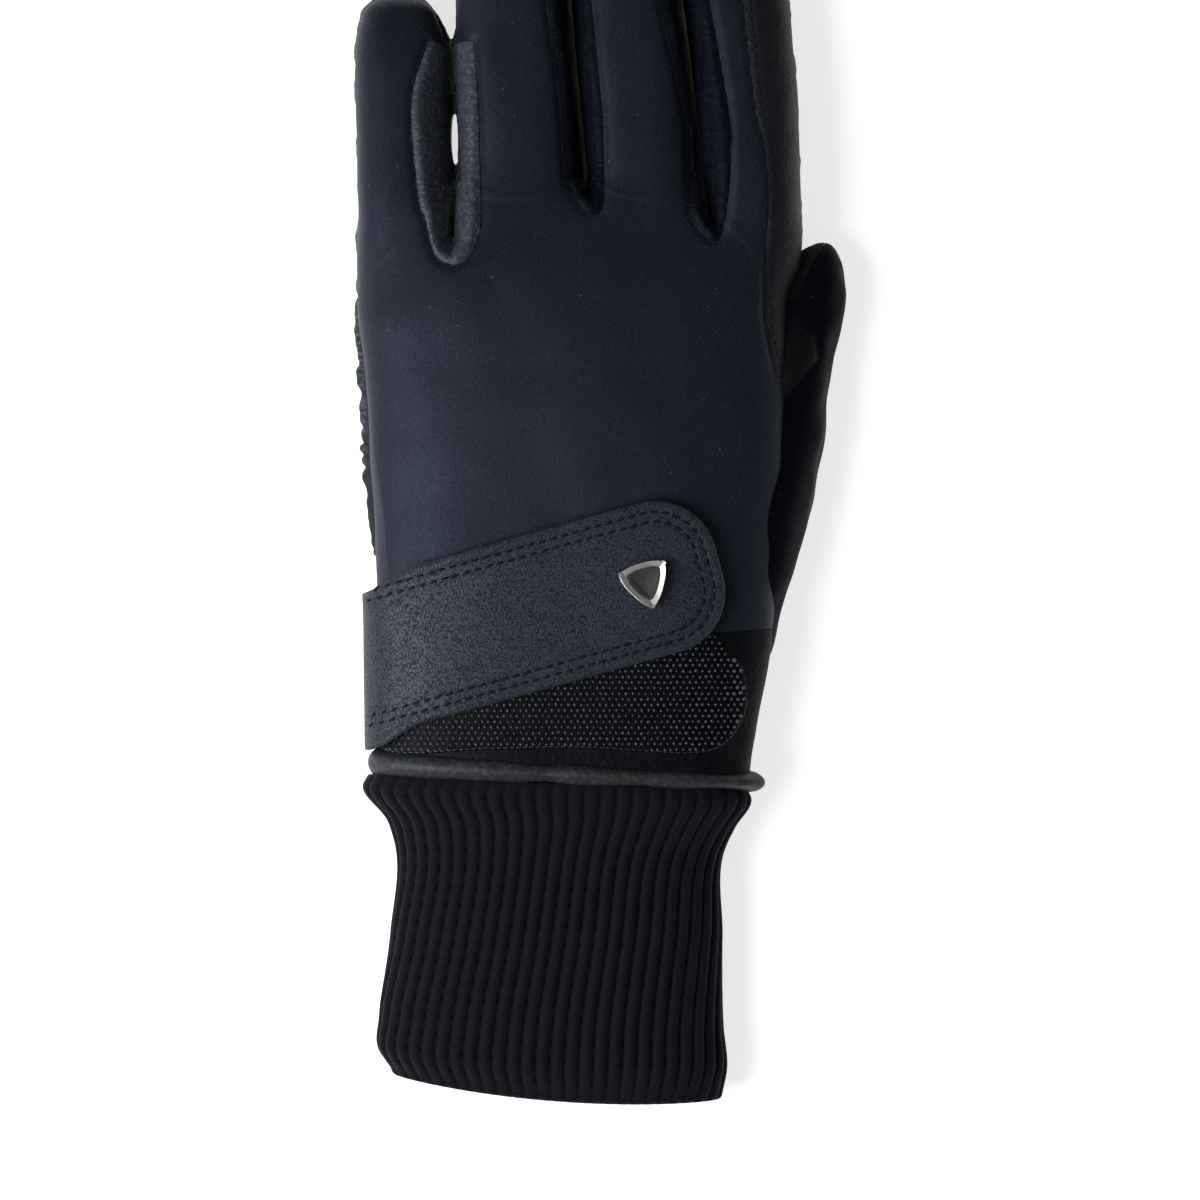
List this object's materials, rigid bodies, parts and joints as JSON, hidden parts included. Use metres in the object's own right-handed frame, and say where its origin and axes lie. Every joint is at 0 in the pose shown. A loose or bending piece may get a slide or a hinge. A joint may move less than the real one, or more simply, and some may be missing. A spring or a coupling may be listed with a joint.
{
  "type": "horse riding glove",
  "caption": "Left-hand winter riding glove lying on its palm: softshell back, leather palm, double-stitched wrist strap on a loop patch and a ribbed knit cuff.",
  "frame": {"origin": "on the table under the middle of the palm", "axes": "+Y along the fingers, +X towards the thumb, +Z out of the back of the hand"},
  "size_m": [0.1157, 0.293, 0.0349],
  "materials": {
    "softshell": "fine twill softshell, soft sheen",
    "leather": "soft grained leather, satin",
    "strap_leather": "pebbled leather, satin",
    "loop_pile": "woven loop tape with glossy knots",
    "rib_knit": "ribbed knit, matt",
    "badge_metal": "polished with a slight warm tint",
    "badge_enamel": "dark enamel"
  },
  "bodies": {
    "root": {"back_panel": "softshell", "palm_panel": "leather", "fourchette_ring_little": "leather", "fourchette_middle_ring": "leather", "fourchette_index_middle": "leather", "thumb_back": "softshell", "thumb_front": "leather", "thumb_gusset": "leather", "wrist_panel": "leather", "loop_patch": "loop_pile", "wrist_strap": "strap_leather", "badge_rim": "badge_metal", "badge_field": "badge_enamel", "hem_piping": "leather", "rib_cuff": "rib_knit"}
  },
  "joints": []
}
